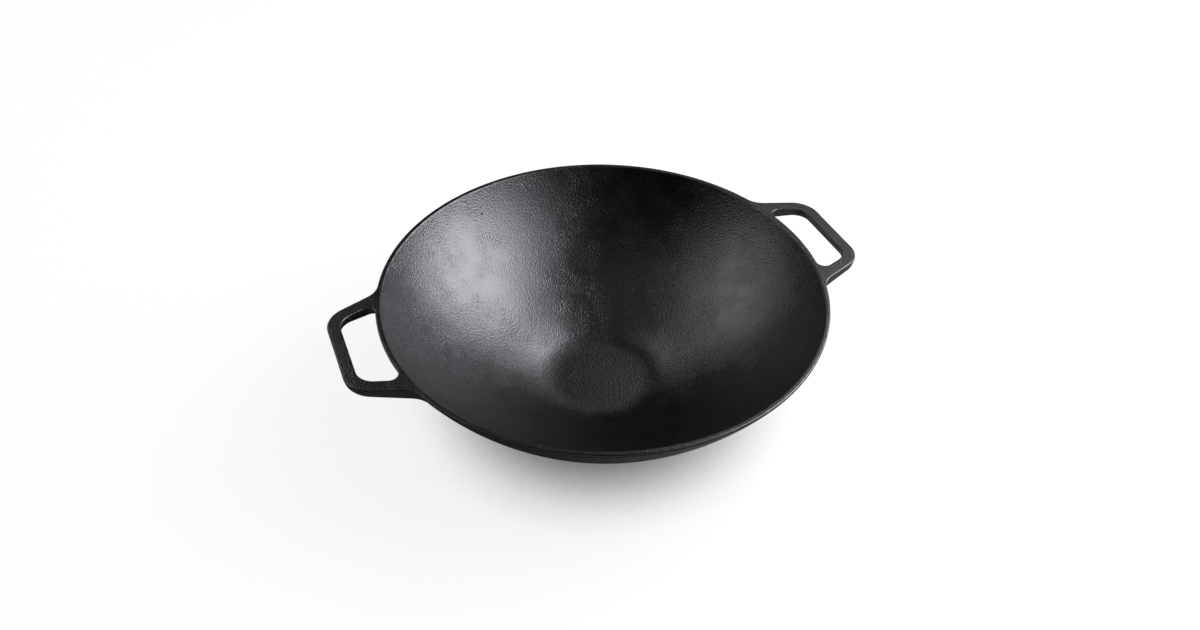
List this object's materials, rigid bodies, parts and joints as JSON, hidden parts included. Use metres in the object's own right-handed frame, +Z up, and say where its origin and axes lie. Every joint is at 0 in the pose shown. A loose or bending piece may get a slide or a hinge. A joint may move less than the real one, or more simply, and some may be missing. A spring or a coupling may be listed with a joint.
{
  "type": "kadai",
  "caption": "Cast iron kadai: a wide round-bottomed cooking bowl with a small flat foot, and broad loop handles that stand out level with its rim.",
  "frame": {"origin": "middle of the flat foot, on the surface that the kadai stands on", "axes": "+Z up along the bowl's axis, +X from the left handle to the right handle"},
  "size_m": [0.4252, 0.356, 0.1045],
  "materials": {
    "seasoned_iron": "black oil-seasoned sand casting, fine orange-peel grain, satin"
  },
  "bodies": {
    "root": {"bowl": "seasoned_iron", "handle_left": "seasoned_iron", "handle_right": "seasoned_iron"}
  },
  "joints": []
}
